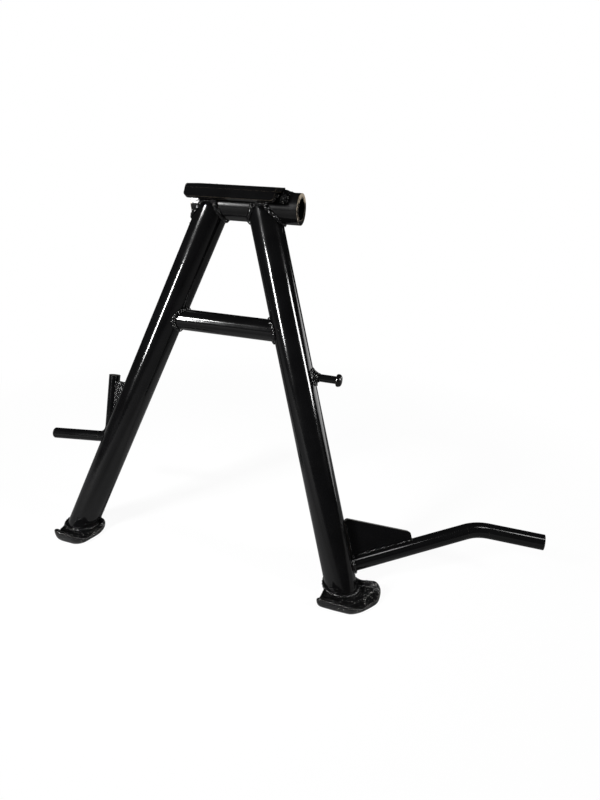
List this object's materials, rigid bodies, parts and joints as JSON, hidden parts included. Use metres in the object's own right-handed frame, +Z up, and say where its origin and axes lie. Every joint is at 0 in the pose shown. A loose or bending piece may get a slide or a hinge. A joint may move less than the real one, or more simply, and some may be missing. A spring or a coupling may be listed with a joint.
{
  "type": "motorcycle centre stand",
  "caption": "Black welded A-frame stand that swings on a shaft through the tube across its top, with pressed feet, a cranked foot lever, a spring post and a rest peg.",
  "frame": {"origin": "on the axis of the pivot bore, midway between the legs", "axes": "+X along the pivot bore to the side of the foot lever, +Y to the rear of the stand, +Z up with the feet flat on the ground"},
  "size_m": [0.433, 0.1162, 0.2948],
  "materials": {
    "paint": "gloss black enamel",
    "paint_pivot": "gloss black enamel, end faces rubbed to bare metal",
    "paint_foot": "gloss black enamel, thin on the turned-up edges",
    "paint_weld": "gloss black enamel over rippled weld"
  },
  "bodies": {
    "root": {"pivot_tube": "paint_pivot", "stop_plate": "paint", "leg_right": "paint", "leg_left": "paint", "cross_brace": "paint", "foot_right": "paint_foot", "foot_left": "paint_foot", "foot_lever": "paint", "lever_gusset": "paint", "spring_post": "paint", "rest_peg": "paint", "weld_pivot_right": "paint_weld", "weld_pivot_left": "paint_weld", "weld_plate_front": "paint_weld", "weld_plate_rear": "paint_weld", "weld_plate_right": "paint_weld", "weld_brace_right": "paint_weld", "weld_brace_left": "paint_weld", "weld_foot_right": "paint_weld", "weld_foot_left": "paint_weld", "weld_lever": "paint_weld", "weld_gusset_front": "paint_weld", "weld_gusset_rear": "paint_weld", "weld_post": "paint_weld", "weld_peg": "paint_weld"}
  },
  "joints": []
}
